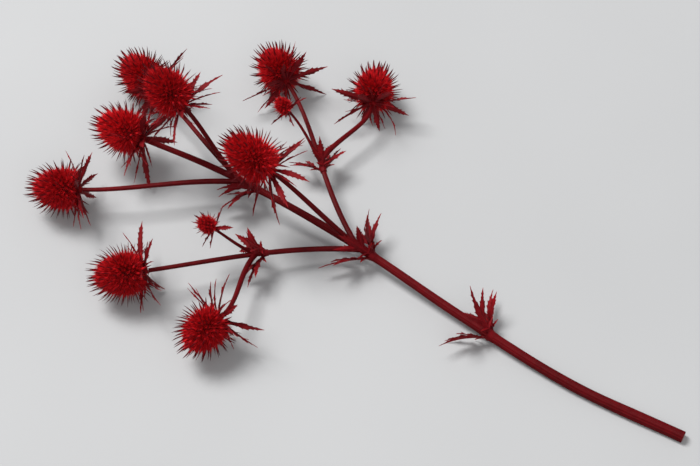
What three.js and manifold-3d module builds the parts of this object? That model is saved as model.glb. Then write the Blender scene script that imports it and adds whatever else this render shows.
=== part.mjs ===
// A cut stem of sea holly (Eryngium), dyed red, lying on its side on a flat surface.
//
// The stem, its side shoots and their stalks grew as one piece and are one mesh. Each ring of
// toothed leaves that clasps the stem is a mesh, and so is each flower head: an egg-shaped core
// covered in spines, with a ring of toothed bracts under it and a short neck that meets its stalk.
//
// Millimetres, +Z up. The surface is z = 0. The cut end is at +X and the heads are towards -X.

import * as THREE from "three";
import { ConvexHull } from "three/addons/math/ConvexHull.js";
import { mergeVertices } from "three/addons/utils/BufferGeometryUtils.js";
import Module from "manifold-3d";

// ---------------------------------------------------------------- driving dimensions

// The middle of the finished plant in plan, which becomes the origin.
const PLAN_CENTRE = [26.1, 0.5];

// The gap that touching meshes keep.
const SEAT_GAP = 0.3;

// The main stem's centre line, from the cut end to the neck of the top head. It is laid a little
// into the surface at the cut end and pressed flat there, so that the stem rests on a flat spot.
const MAIN_STEM = {
  points: [
    [300, -64, 3.5],
    [210, -56, 4.4],
    [110, -34, 8],
    [20, -12, 14],
    [-60, 0, 22],
    [-120, 3, 30],
    [-176, 2, 36],
  ],
  radii: [4.2, 2.1],
  sides: 8,
  steps: 20,
};

// Side shoots. `at` is the place on the parent, as a share of the parent's length. `base` is where
// the head starts, and `yaw` and `pitch` turn the head from -X, towards +Y and +Z.
const SHOOTS = [
  { name: "top_left", parent: "main", at: 0.82, base: [-206, -58, 26.4], yaw: -20, pitch: -2 },
  { name: "top_right", parent: "main", at: 0.82, base: [-200, 62, 24.5], yaw: 24, pitch: 0 },
  { name: "top_rising", parent: "main", at: 0.83, base: [-146, 14, 80], yaw: 6, pitch: 40 },
  { name: "low_left", parent: "main", at: 0.59, base: [-122, -106, 25.2], yaw: -34, pitch: 0 },
  { name: "low_right", parent: "main", at: 0.6, base: [-104, 112, 25.6], yaw: 38, pitch: 0 },
  { name: "low_rising", parent: "main", at: 0.6, base: [-58, -12, 74], yaw: -12, pitch: 42 },
  { name: "outer_left", parent: "low_left", at: 0.5, base: [-50, -122, 25.6], yaw: -70, pitch: 0 },
  { name: "outer_right", parent: "low_right", at: 0.5, base: [-30, 122, 22.8], yaw: 72, pitch: 0 },
  { name: "bud_left", parent: "low_left", at: 0.5, base: [-84, -60, 44], yaw: -5, pitch: 30 },
  { name: "bud_right", parent: "low_right", at: 0.5, base: [-82, 70, 44], yaw: 12, pitch: 30 },
];

// A shoot sets off partly along its parent and ends in line with its head. `lean` is how much of
// the parent's direction it takes, and `start` and `finish` are its handles, as shares of its reach.
const SHOOT = { sides: 6, steps: 7, lean: 0.35, start: 0.36, finish: 0.3 };
const STALK_RADII = [2.2, 1.6];
const BUD_STALK_RADII = [1.4, 1.0];

// Flower heads, each on the shoot of the same name: the core's length and radius, and how many
// lattice points cover it, of which nearly all carry a spine.
const HEADS = {
  main: { length: 34, radius: 11.5, points: 160 },
  top_left: { length: 31, radius: 11, points: 150 },
  top_right: { length: 36, radius: 11, points: 160 },
  top_rising: { length: 32, radius: 11, points: 150 },
  low_left: { length: 33, radius: 11.5, points: 155 },
  low_right: { length: 30, radius: 11, points: 145 },
  low_rising: { length: 37, radius: 11, points: 160 },
  outer_left: { length: 28, radius: 10, points: 132 },
  outer_right: { length: 29, radius: 10, points: 132 },
  bud_left: { length: 12, radius: 4.5, points: 36, bud: true },
  bud_right: { length: 11, radius: 4.2, points: 36, bud: true },
};

// A bud's spines, bracts and neck are this share of a head's.
const BUD_SCALE = 0.5;

// The neck between a core and its stalk.
const NECK = { length: 3, top: 3.4, bottom: 2.4, sides: 8 };

// The core's profile: `blunt` under 1 fills out its two ends, and `taper` draws its top in.
const EGG = { blunt: 0.8, taper: 0.1, slices: 240 };

// Spines are `base` long near the bracts and `tip` long at the head's top. They point away from a
// focus that lies this share of the way up the core. Faces that point back further than `bare`
// carry none, because the bracts and the neck are there.
const SPINE = { tip: 13, base: 14.5, focus: 0.38, wander: 0.06, vary: 0.1, bare: 0.74 };

// Bracts: `spread` is the angle from the head's axis, `width` half the widest breadth, and `roll`
// how far one turns at most about its own length. One that points down ends where it meets the
// ground.
const BRACTS = {
  count: 8, budCount: 5, budWidth: 0.7, length: 37, width: 3.5, thickness: 1.2, bend: -12,
  spread: 100, wander: 22, vary: 0.18, twist: 0.15, roll: 50, root: 0.8, lift: 0.6,
};

// Rings of leaves, at a share of the length of the shoot that they clasp. `fan` is the angle that
// the leaves cover round the shoot's upper side: near the surface they lie flatter.
const WHORLS = [
  { name: "leaves_low", shoot: "main", at: 0.34, leaves: 3, length: 42, fan: 150 },
  { name: "leaves_middle", shoot: "main", at: 0.575, leaves: 4, length: 40, fan: 180 },
  { name: "leaves_top", shoot: "main", at: 0.8, leaves: 4, length: 36, fan: 230 },
  { name: "leaves_left", shoot: "low_left", at: 0.47, leaves: 3, length: 30, fan: 200 },
  { name: "leaves_right", shoot: "low_right", at: 0.47, leaves: 3, length: 30, fan: 200 },
];

// A leaf has a middle lobe and two side lobes that part from it a quarter of the way up. `spread`
// is its angle from the shoot, and `roll` how far one at the shoot's side turns about its own
// length, so that it lies flatter.
const LEAF = {
  width: 4.3, thickness: 1.2, bend: -24, spread: 40, wander: 9, roll: 40, vary: 0.1,
  sideLength: 0.6, sideWidth: 0.85, sideTurn: 0.62, sideRoot: 0.26, sideDrop: 0.2, root: 0.7,
};

// The sheath that joins a ring's leaves: `wall` thick, and narrower at its foot by `flare`.
const SHEATH = { length: 5, wall: 1.4, flare: 0.82, sides: 8 };

// A blade's edge: how far along each point is, and its half width as a share of the widest.
const BRACT_EDGE = [[0, 0.45], [0.34, 0.8], [0.42, 0.56], [0.6, 1], [0.68, 0.62], [0.8, 0.64]];
const LEAF_EDGE = [[0, 0.45], [0.3, 0.76], [0.5, 1], [0.58, 0.64], [0.74, 0.84], [0.84, 0.46]];
const SIDE_EDGE = [[0, 0.6], [0.45, 1], [0.55, 0.62], [0.75, 0.72]];

// A blade's keel is shallower by `fall` at the tip than at the root, and its point is `tip` thick,
// as shares of its thickness.
const KEEL = { fall: 0.5, tip: 0.1 };

// Where each ring's and head's seed starts, and where each kind of draw starts under one seed.
const SEED = { heads: 1, leaves: 20 };
const DRAW = {
  leafTurn: 0, leafLength: 40,
  bractTurn: 70, bractSpread: 80, bractLength: 90, bractRoll: 100,
  spineWay: [0, 300, 600], spineLength: 900,
};

// The block of ground that is cut from every piece, and how near two points are that are one.
const GROUND = { reach: 2000, depth: 200 };
const WELD = 1e-4;

const COLOURS = { stem: 0x5e1015, leaves: 0x74141a, heads: 0x9b0d14 };
const FINISH = { roughness: 0.7, metalness: 0 };

// ---------------------------------------------------------------- solids

const wasm = await Module();
wasm.setup();

function solidOf(geometry) {
  const bare = new THREE.BufferGeometry();
  bare.setAttribute("position", geometry.getAttribute("position"));
  bare.setIndex(geometry.getIndex());
  const merged = mergeVertices(bare, WELD);
  const mesh = new wasm.Mesh({
    numProp: 3,
    vertProperties: merged.getAttribute("position").array,
    triVerts: new Uint32Array(merged.getIndex().array),
  });
  return new wasm.Manifold(mesh);
}

function geometryOf(solid) {
  const mesh = solid.getMesh();
  const geometry = new THREE.BufferGeometry();
  geometry.setAttribute("position", new THREE.BufferAttribute(mesh.vertProperties, mesh.numProp));
  geometry.setIndex(new THREE.BufferAttribute(mesh.triVerts, 1));
  geometry.computeVertexNormals();
  return geometry;
}

/** The union of `pieces`, less the ground and `cutter`, without loose scraps. */
function fuse(pieces, cutter = null) {
  const ground = new THREE.BoxGeometry(GROUND.reach, GROUND.reach, GROUND.depth);
  ground.translate(0, 0, -GROUND.depth / 2);
  let solid = wasm.Manifold.union(pieces.map(solidOf)).subtract(solidOf(ground));
  if (cutter) {
    solid = solid.subtract(cutter);
  }
  const bodies = solid.decompose().sort((a, b) => b.volume() - a.volume());
  return bodies[0];
}

function geometryFrom(points, faces) {
  const geometry = new THREE.BufferGeometry().setFromPoints(points);
  geometry.setIndex(faces.flat());
  return geometry;
}

/** A closed surface through rings of equal count, capped flat, or drawn to a point at `apex`. */
function loft(rings, apex = null) {
  const count = rings[0].length;
  const points = rings.flat();
  const faces = [];
  for (let start = 0; start < points.length - count; start += count) {
    for (let j = 0; j < count; j++) {
      const a = start + j;
      const b = start + ((j + 1) % count);
      faces.push([a, b, b + count], [a, b + count, a + count]);
    }
  }
  const last = points.length - count;
  for (let j = 1; j + 1 < count; j++) {
    faces.push([0, j + 1, j]);
    if (!apex) {
      faces.push([last, last + j, last + j + 1]);
    }
  }
  if (apex) {
    points.push(apex);
    for (let j = 0; j < count; j++) {
      faces.push([last + j, last + ((j + 1) % count), points.length - 1]);
    }
  }
  return geometryFrom(points, faces);
}

function tube(curve, radiusAt, sides, steps) {
  const frames = curve.computeFrenetFrames(steps, false);
  const rings = [];
  for (let i = 0; i <= steps; i++) {
    const centre = curve.getPointAt(i / steps);
    const ring = [];
    for (let j = 0; j < sides; j++) {
      const turn = (2 * Math.PI * (j + 0.5)) / sides;
      const spoke = frames.normals[i].clone().multiplyScalar(Math.cos(turn));
      spoke.addScaledVector(frames.binormals[i], Math.sin(turn));
      ring.push(spoke.multiplyScalar(radiusAt(i / steps)).add(centre));
    }
    rings.push(ring);
  }
  return loft(rings);
}

/**
 * A toothed blade along +X with its upper face towards +Z: flat above, keeled below. `bend` is
 * how far it turns towards +Z over its length, in degrees.
 */
function blade({ length, width, thickness, bend }, edge) {
  const turn = THREE.MathUtils.degToRad(bend);
  const spot = (u, side, drop) => {
    const angle = turn * u;
    const x = (length * Math.sin(angle)) / turn;
    const z = (length * (1 - Math.cos(angle))) / turn;
    return new THREE.Vector3(x + drop * Math.sin(angle), side, z - drop * Math.cos(angle));
  };
  const rings = edge.map(([u, share]) => {
    const half = width * share;
    const drop = thickness * (1 - KEEL.fall * u);
    return [spot(u, -half, 0), spot(u, 0, drop), spot(u, half, 0)];
  });
  return loft(rings, spot(1, 0, thickness * KEEL.tip));
}

/** A repeatable number from -1 to 1. */
function chance(seed, index) {
  const wave = Math.sin(seed * 12.9898 + index * 78.233) * 43758.5453;
  return 2 * (wave - Math.floor(wave)) - 1;
}

/** The turn that carries +X to `forward` and +Z as near as it can to `up`, then a move. */
function placement(forward, up, origin) {
  const x = forward.clone().normalize();
  const y = up.clone().cross(x).normalize();
  const z = x.clone().cross(y);
  return new THREE.Matrix4().makeBasis(x, y, z).setPosition(origin);
}

/** `angle` degrees from `axis` towards `out`, and the square to it that faces back to the axis. */
function lean(axis, out, angle) {
  const a = THREE.MathUtils.degToRad(angle);
  const forward = axis.clone().multiplyScalar(Math.cos(a)).addScaledVector(out, Math.sin(a));
  const face = axis.clone().multiplyScalar(Math.sin(a)).addScaledVector(out, -Math.cos(a));
  return { forward, face };
}

// ---------------------------------------------------------------- shoots

/** The way a head faces, from its yaw and pitch. */
function heading({ yaw, pitch }) {
  const a = THREE.MathUtils.degToRad(yaw);
  const b = THREE.MathUtils.degToRad(pitch);
  return new THREE.Vector3(-Math.cos(a) * Math.cos(b), Math.sin(a) * Math.cos(b), Math.sin(b));
}

function growMain() {
  const points = MAIN_STEM.points.map((point) => new THREE.Vector3(...point));
  const curve = new THREE.CatmullRomCurve3(points, false, "centripetal");
  const facing = curve.getTangentAt(1);
  const headBase = curve.getPointAt(1).addScaledVector(facing, NECK.length + SEAT_GAP);
  return { ...MAIN_STEM, curve, facing, headBase };
}

function growSide(shoot, parent) {
  const bud = HEADS[shoot.name].bud;
  const neck = NECK.length * (bud ? BUD_SCALE : 1);
  const facing = heading(shoot);
  const headBase = new THREE.Vector3(...shoot.base);
  const start = parent.curve.getPointAt(shoot.at);
  const end = headBase.clone().addScaledVector(facing, -neck - SEAT_GAP);
  const reach = end.distanceTo(start);
  const leaving = end.clone().sub(start).normalize();
  leaving.addScaledVector(parent.curve.getTangentAt(shoot.at), SHOOT.lean).normalize();
  const curve = new THREE.CubicBezierCurve3(
    start,
    start.clone().addScaledVector(leaving, reach * SHOOT.start),
    end.clone().addScaledVector(facing, -reach * SHOOT.finish),
    end,
  );
  return { ...SHOOT, radii: bud ? BUD_STALK_RADII : STALK_RADII, curve, facing, headBase };
}

/** Every shoot's curve, radii and head place, by name. */
function growShoots() {
  const grown = { main: growMain() };
  for (const shoot of SHOOTS) {
    grown[shoot.name] = growSide(shoot, grown[shoot.parent]);
  }
  return grown;
}

function radiusOn(shoot, share) {
  return THREE.MathUtils.lerp(shoot.radii[0], shoot.radii[1], share);
}

/** All the shoots in one solid, `extra` thicker all round. */
function stemSolid(grown, extra) {
  const pieces = Object.values(grown).map((shoot) => {
    return tube(shoot.curve, (share) => radiusOn(shoot, share) + extra, shoot.sides, shoot.steps);
  });
  return fuse(pieces);
}

// ---------------------------------------------------------------- leaves

/** A leaf of three toothed lobes along +X. */
function leaf(length) {
  const side = { ...LEAF, length: length * LEAF.sideLength, width: LEAF.width * LEAF.sideWidth };
  const lobes = [blade({ ...LEAF, length }, LEAF_EDGE)];
  for (const turn of [LEAF.sideTurn, -LEAF.sideTurn]) {
    const lobe = blade(side, SIDE_EDGE).rotateZ(turn);
    lobes.push(lobe.translate(length * LEAF.sideRoot, 0, -LEAF.sideDrop));
  }
  return lobes;
}

function sheath(radius, place) {
  const outer = radius + SHEATH.wall;
  const ring = new THREE.CylinderGeometry(outer, outer * SHEATH.flare, SHEATH.length, SHEATH.sides);
  return ring.rotateZ(-Math.PI / 2).applyMatrix4(place);
}

/** A sheath round the shoot, with leaves that fan out from its upper side. */
function whorl({ shoot, at, leaves, length, fan }, seed) {
  const tangent = shoot.curve.getTangentAt(at);
  const centre = shoot.curve.getPointAt(at).addScaledVector(tangent, -SHEATH.length / 2);
  const up = new THREE.Vector3(0, 0, 1).projectOnPlane(tangent).normalize();
  const side = new THREE.Vector3().crossVectors(tangent, up);
  const radius = radiusOn(shoot, at);
  const pieces = [sheath(radius, placement(tangent, up, centre))];
  for (let i = 0; i < leaves; i++) {
    const share = i / (leaves - 1) - 0.5;
    const wander = LEAF.wander * chance(seed, DRAW.leafTurn + i);
    const turn = THREE.MathUtils.degToRad(fan * share + wander);
    const out = up.clone().multiplyScalar(Math.cos(turn)).addScaledVector(side, Math.sin(turn));
    const { forward, face } = lean(tangent, out, LEAF.spread);
    const root = centre.clone().addScaledVector(out, radius * LEAF.root);
    const place = placement(forward, face, root);
    const roll = THREE.MathUtils.degToRad(LEAF.roll) * Math.sin(turn);
    const grown = leaf(length * (1 + LEAF.vary * chance(seed, DRAW.leafLength + i)));
    pieces.push(...grown.map((lobe) => lobe.rotateX(roll).applyMatrix4(place)));
  }
  return pieces;
}

// ---------------------------------------------------------------- heads

/** A point on the egg-shaped core: `theta` runs from 0 at its base to pi at its tip. */
function eggPoint({ length, radius }, theta, turn) {
  const r = radius * Math.sin(theta) ** EGG.blunt * (1 + EGG.taper * Math.cos(theta));
  const z = (length * (1 - Math.cos(theta))) / 2;
  return new THREE.Vector3(r * Math.cos(turn), r * Math.sin(turn), z);
}

/** Points spaced evenly over the core, in the spiral that seed heads grow in. */
function spiralPoints(core) {
  const slice = Math.PI / EGG.slices;
  const area = [0];
  for (let i = 1; i <= EGG.slices; i++) {
    const a = eggPoint(core, slice * (i - 1), 0);
    const b = eggPoint(core, slice * i, 0);
    area.push(area[i - 1] + a.distanceTo(b) * (a.x + b.x));
  }
  const golden = Math.PI * (3 - Math.sqrt(5));
  const points = [];
  for (let i = 0; i < core.points; i++) {
    const wanted = (area[EGG.slices] * (i + 0.5)) / core.points;
    const next = area.findIndex((sum) => sum >= wanted);
    const part = (wanted - area[next - 1]) / (area[next] - area[next - 1]);
    points.push(eggPoint(core, slice * (next - 1 + part), golden * i));
  }
  return points;
}

/**
 * The core with its spines. The points' net is a mesh of triangles in pairs, and one of each pair
 * is drawn out to a spine along the line from a focus on the core's axis, so no two spines cross.
 */
function spinyCore(core, seed) {
  const points = spiralPoints(core);
  const order = new Map(points.map((point, i) => [point, i]));
  const hull = new ConvexHull().setFromPoints(points);
  const focus = new THREE.Vector3(0, 0, core.length * SPINE.focus);
  const scale = core.bud ? BUD_SCALE : 1;
  const faces = [];
  for (const { edge } of hull.faces) {
    const corners = [edge, edge.next, edge.next.next].map((side) => order.get(side.head().point));
    const [low, middle, high] = [...corners].sort((a, b) => a - b);
    const centre = new THREE.Vector3();
    corners.forEach((i) => centre.addScaledVector(points[i], 1 / 3));
    const ray = centre.clone().sub(focus).normalize();
    if (middle - low >= high - middle || ray.z < -SPINE.bare) {
      faces.push(corners);
      continue;
    }
    const wander = DRAW.spineWay.map((start) => SPINE.wander * chance(seed, start + low));
    ray.add(new THREE.Vector3(...wander)).normalize();
    const grown = THREE.MathUtils.lerp(SPINE.base, SPINE.tip, centre.z / core.length);
    const long = scale * grown * (1 + SPINE.vary * chance(seed, DRAW.spineLength + low));
    const apex = points.push(centre.addScaledVector(ray, long)) - 1;
    corners.forEach((corner, i) => faces.push([corner, corners[(i + 1) % 3], apex]));
  }
  return geometryFrom(points, faces);
}

/** The turn that carries +Z to the way the shoot faces, and the move to its head's base. */
function seatOn(shoot) {
  const turn = new THREE.Quaternion();
  turn.setFromUnitVectors(new THREE.Vector3(0, 0, 1), shoot.facing);
  return new THREE.Matrix4().makeRotationFromQuaternion(turn).setPosition(shoot.headBase);
}

/** `length`, or less where the ground is nearer than that along the +X of `place`. */
function shortOfGround(length, place) {
  const way = new THREE.Vector3().setFromMatrixColumn(place, 0);
  const root = new THREE.Vector3().setFromMatrixPosition(place);
  return way.z < 0 ? Math.min(length, -root.z / way.z) : length;
}

/** The bracts under a head that `seat` places. */
function bractRing(core, seed, seat) {
  const scale = core.bud ? BUD_SCALE : 1;
  const count = core.bud ? BRACTS.budCount : BRACTS.count;
  const width = BRACTS.width * (core.bud ? BRACTS.budWidth : 1);
  const axis = new THREE.Vector3(0, 0, 1);
  const pieces = [];
  for (let i = 0; i < count; i++) {
    const twist = BRACTS.twist * chance(seed, DRAW.bractTurn + i);
    const turn = (2 * Math.PI * (i + twist)) / count;
    const out = new THREE.Vector3(Math.cos(turn), Math.sin(turn), 0);
    const angle = BRACTS.spread + BRACTS.wander * chance(seed, DRAW.bractSpread + i);
    const { forward, face } = lean(axis, out, angle);
    const root = out.multiplyScalar(BRACTS.root * scale).setZ(BRACTS.lift * scale);
    const place = seat.clone().multiply(placement(forward, face, root));
    const vary = BRACTS.vary * chance(seed, DRAW.bractLength + i);
    const grown = BRACTS.length * scale * (1 + vary);
    const length = shortOfGround(grown, place);
    const roll = THREE.MathUtils.degToRad(BRACTS.roll * chance(seed, DRAW.bractRoll + i));
    const bract = blade({ ...BRACTS, length, width }, BRACT_EDGE).rotateX(roll);
    pieces.push(bract.applyMatrix4(place));
  }
  return pieces;
}

/** A head's core, neck and bracts, on its shoot. */
function head(core, seed, shoot) {
  const scale = core.bud ? BUD_SCALE : 1;
  const deep = 2 * NECK.length * scale;
  const neck = new THREE.CylinderGeometry(NECK.top * scale, NECK.bottom * scale, deep, NECK.sides);
  const seat = seatOn(shoot);
  const upright = [spinyCore(core, seed), neck.rotateX(Math.PI / 2)];
  return [...upright.map((piece) => piece.applyMatrix4(seat)), ...bractRing(core, seed, seat)];
}

// ---------------------------------------------------------------- the plant

const materials = {};
for (const [name, color] of Object.entries(COLOURS)) {
  materials[name] = new THREE.MeshStandardMaterial({ name, color, ...FINISH });
}

const plant = new THREE.Group();
plant.name = "sea_holly_stem";
plant.position.set(-PLAN_CENTRE[0], -PLAN_CENTRE[1], 0);

function addMesh(name, solid, material) {
  const mesh = new THREE.Mesh(geometryOf(solid), material);
  mesh.name = name;
  plant.add(mesh);
}

const shoots = growShoots();
addMesh("stem", stemSolid(shoots, 0), materials.stem);

const stemRoom = stemSolid(shoots, SEAT_GAP);
WHORLS.forEach((row, i) => {
  const pieces = whorl({ ...row, shoot: shoots[row.shoot] }, SEED.leaves + i);
  addMesh(row.name, fuse(pieces, stemRoom), materials.leaves);
});

Object.entries(HEADS).forEach(([name, core], i) => {
  const pieces = head(core, SEED.heads + i, shoots[name]);
  addMesh(core.bud ? name : "head_" + name, fuse(pieces), materials.heads);
});

export default plant;
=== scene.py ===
"""A cut stem of sea holly, dyed red, lying on a pale table. Metres, +Z up.

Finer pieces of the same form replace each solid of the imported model: the stem with its ribs, the
clasping leaves with their teeth and veins, and the heads with every spine.
"""

import math

import bpy
import numpy as np
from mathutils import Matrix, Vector


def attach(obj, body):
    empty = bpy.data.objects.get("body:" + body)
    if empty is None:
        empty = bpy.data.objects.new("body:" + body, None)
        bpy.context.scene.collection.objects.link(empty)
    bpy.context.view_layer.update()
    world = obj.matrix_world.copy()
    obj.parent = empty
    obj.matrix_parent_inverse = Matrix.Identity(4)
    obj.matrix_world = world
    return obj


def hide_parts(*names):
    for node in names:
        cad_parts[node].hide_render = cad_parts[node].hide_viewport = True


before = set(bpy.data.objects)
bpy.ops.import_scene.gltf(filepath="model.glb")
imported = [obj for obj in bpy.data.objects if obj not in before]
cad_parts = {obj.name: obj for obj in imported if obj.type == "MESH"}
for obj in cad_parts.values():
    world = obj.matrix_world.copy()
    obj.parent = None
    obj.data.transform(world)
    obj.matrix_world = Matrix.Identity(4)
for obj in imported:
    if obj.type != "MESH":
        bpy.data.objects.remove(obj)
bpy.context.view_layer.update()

# ---------------------------------------------------------------- the plant's driving dimensions

# These are the solids' own, in metres.
PLAN_CENTRE = np.array([0.0261, 0.0005, 0])
SEAT_GAP = 0.0003

MAIN_STEM = [
    (0.300, -0.064, 0.0035),
    (0.210, -0.056, 0.0044),
    (0.110, -0.034, 0.008),
    (0.020, -0.012, 0.014),
    (-0.060, 0, 0.022),
    (-0.120, 0.003, 0.030),
    (-0.176, 0.002, 0.036),
]

# Radii at a shoot's foot and at its end.
MAIN_RADII = (0.0042, 0.0021)
STALK_RADII = (0.0022, 0.0016)
BUD_STALK_RADII = (0.0014, 0.0010)

# Side shoots: name, parent, place on the parent, where the head starts, and its yaw and pitch.
SHOOTS = [
    ("top_left", "main", 0.82, (-0.206, -0.058, 0.0264), -20, -2),
    ("top_right", "main", 0.82, (-0.200, 0.062, 0.0245), 24, 0),
    ("top_rising", "main", 0.83, (-0.146, 0.014, 0.080), 6, 40),
    ("low_left", "main", 0.59, (-0.122, -0.106, 0.0252), -34, 0),
    ("low_right", "main", 0.60, (-0.104, 0.112, 0.0256), 38, 0),
    ("low_rising", "main", 0.60, (-0.058, -0.012, 0.074), -12, 42),
    ("outer_left", "low_left", 0.50, (-0.050, -0.122, 0.0256), -70, 0),
    ("outer_right", "low_right", 0.50, (-0.030, 0.122, 0.0228), 72, 0),
    ("bud_left", "low_left", 0.50, (-0.084, -0.060, 0.044), -5, 30),
    ("bud_right", "low_right", 0.50, (-0.082, 0.070, 0.044), 12, 30),
]

# How much a shoot leaves along its parent, and its curve's two handles as shares of its reach.
SHOOT_LEAN = 0.35
SHOOT_HANDLES = (0.36, 0.3)

# Heads: length and radius of the core, and how many spines the solid has room for.
HEADS = {
    "main": (0.034, 0.0115, 160),
    "top_left": (0.031, 0.011, 150),
    "top_right": (0.036, 0.011, 160),
    "top_rising": (0.032, 0.011, 150),
    "low_left": (0.033, 0.0115, 155),
    "low_right": (0.030, 0.011, 145),
    "low_rising": (0.037, 0.011, 160),
    "outer_left": (0.028, 0.010, 132),
    "outer_right": (0.029, 0.010, 132),
    "bud_left": (0.012, 0.0045, 36),
    "bud_right": (0.011, 0.0042, 36),
}
BUD_SCALE = 0.5
EGG = {"blunt": 0.8, "taper": 0.1}

# Spines point away from `focus`, a share of the way up the core. Those that would point further
# down than `bare` are left out.
SPINE = {"tip": 0.013, "base": 0.0145, "focus": 0.38, "wander": 0.06, "bare": 0.74}

# Angles are in degrees, `vary` is a share of the length and `twist` of the gap to the next bract.
BRACTS = {
    "count": 8, "bud_count": 5, "bud_width": 0.7, "length": 0.037, "width": 0.0035, "bend": -12,
    "spread": 100, "wander": 22, "vary": 0.18, "twist": 0.15, "roll": 50, "root": 0.0008,
    "lift": 0.0006,
}

# Rings of leaves: name, shoot, place on it, leaves, their length and the angle that they cover.
WHORLS = [
    ("leaves_low", "main", 0.34, 3, 0.042, 150),
    ("leaves_middle", "main", 0.575, 4, 0.040, 180),
    ("leaves_top", "main", 0.80, 4, 0.036, 230),
    ("leaves_left", "low_left", 0.47, 3, 0.030, 200),
    ("leaves_right", "low_right", 0.47, 3, 0.030, 200),
]

# Angles are in degrees, and a leaf's root is a share of the stem's radius off its middle.
LEAF = {
    "width": 0.0043, "bend": -24, "spread": 40, "wander": 9, "roll": 40, "vary": 0.1, "root": 0.7,
}

# ---------------------------------------------------------------- the finer pieces' own sizes

# Rings along the stem's and the stalks' tubes, points round them, and their fine ribs.
TUBES = {
    "main": {"rings": 180, "sides": 48, "ribs": 12},
    "side": {"rings": 60, "sides": 32, "ribs": 8},
}

# Shares of a tube's radius: the ribs' depth, the lumps' size, and the swelling at its nodes. The
# lumps' other values are their waves, and the swelling's reach is a share of the shoot's length.
RIB_DEPTH = 0.07
LUMPS = {"size": 0.03, "along": 90, "round": 2, "twist": 25}
NODE_SWELL = {"size": 0.16, "reach": 0.012}

# The cut face's rings: radius as a share of the face's, and lift as a share of the dish.
CUT_FACE = {"share": 0.93, "dish": 0.0003, "sides": 48}
CUT_ROWS = [(1, -0.5), (1, 0.5), (0.9, 0.6), (0.6, 0.3), (0.3, 0.1), (0.02, 0)]

# A blade's edge: its teeth, by how far along they are and how far out they reach, and its waist
# between them. Both are shares, of the blade's length and of its half width.
BRACT_EDGE = {
    "teeth": [(0.22, 0.66), (0.36, 0.84), (0.5, 0.96), (0.62, 1.0), (0.73, 0.86), (0.82, 0.56)],
    "waist": [
        (0, 0.45), (0.35, 0.54), (0.62, 0.68), (0.78, 0.46), (0.88, 0.24), (0.94, 0.12), (1, 0.02),
    ],
}
LEAF_EDGE = {
    "teeth": [(0.2, 0.84), (0.34, 0.94), (0.48, 1.0), (0.6, 0.9), (0.71, 0.8), (0.8, 0.56)],
    "waist": [
        (0, 0.45), (0.3, 0.76), (0.56, 0.66), (0.74, 0.46), (0.86, 0.22), (0.93, 0.11), (1, 0.02),
    ],
}
LOBE_EDGE = {
    "teeth": [(0.24, 0.86), (0.42, 1.0), (0.57, 0.86), (0.7, 0.7), (0.8, 0.46)],
    "waist": [
        (0, 0.6), (0.36, 0.74), (0.56, 0.6), (0.74, 0.4), (0.86, 0.2), (0.93, 0.1), (1, 0.02),
    ],
}
EAR_EDGE = {
    "teeth": [(0.3, 0.8), (0.55, 0.9)],
    "waist": [(0, 0.6), (0.4, 0.5), (0.8, 0.25), (1, 0.03)],
}

# Sections of a tooth: how far along the blade from its point, how far out towards its reach, and
# how much of the throw it has. The throw carries a tooth's point forward, as a share of the blade's
# length, and each tooth is smaller than its reach by up to `vary`.
TOOTH_ROWS = [(-0.05, 0, 0), (-0.015, 0.35, 0.3), (0, 1, 1), (0.012, 0.2, 0.2)]
TOOTH = {"throw": 0.055, "vary": 0.6}

# The blade's other sections are evenly spaced, except within `clear` of a tooth's.
BLADE_STEPS = {"count": 22, "last": 0.97, "clear": 0.022}

# A section's points, as shares of its half width: over the upper face from one edge to the other,
# and back along the underside.
BLADE_TOP = [-1, -0.6, -0.16, 0, 0.16, 0.6, 1]
BLADE_UNDERSIDE = [0.6, 0.16, 0, -0.16, -0.6]

# A blade's own relief: skin and rib thickness, how far out the rib goes and how the blade thins
# towards its tip, the fold and groove along its midrib, the waves of its edges, and how far its
# tip strays sideways (a share of its length), up or down (degrees) and round (radians).
BLADE = {
    "skin": 0.0004, "rib": 0.0009, "rib_share": 0.5, "thinning": 1.2, "fold": 0.18,
    "groove": 0.00012, "wave": 0.0007, "waves": 17, "stray": 0.06, "curl": 14, "twist": 0.35,
}

# A leaf's side lobes, and the small ears below them: sizes as shares of the leaf's, the turn from
# its midrib in radians, and how far along it they root.
LOBES = [
    {"length": 0.6, "width": 0.85, "turn": 0.62, "root": 0.26, "edge": LOBE_EDGE},
    {"length": 0.24, "width": 0.5, "turn": 1.15, "root": 0.12, "edge": EAR_EDGE},
]
LOBE_DROP = 0.0002

SHEATH = {
    "length": 0.005, "wall": 0.0014, "sides": 36, "creases": 9, "crease": 0.03, "rise": 0.2,
}

# The sheath's rings: how far along it, and radius as a share of the outer one.
SHEATH_ROWS = [(0, 0.6), (0.04, 0.8), (0.3, 0.82), (0.7, 0.95), (0.94, 1), (1, 0.7)]

# The neck's rings: place as a share of its length, from the stalk at -1, and radius.
NECK_LENGTH = 0.003
NECK_ROWS = [
    (-1, 0.0019), (-0.94, 0.0022), (-0.82, 0.0024), (-0.5, 0.0026), (-0.15, 0.003), (0.1, 0.0034),
]

# The core's own rings and sides, and how far in theta it ends from its base and from its tip.
CORE = {"rings": 22, "sides": 32, "base_gap": 0.28, "tip_gap": 0.05}

# What grows on the core follows a spiral that turns by this share of half a turn at each step.
# The core's area is measured in slices, and its slope by a nudge in theta.
SPIRAL = {"step": 3 - math.sqrt(5), "slices": 400, "nudge": 0.001}

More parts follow.
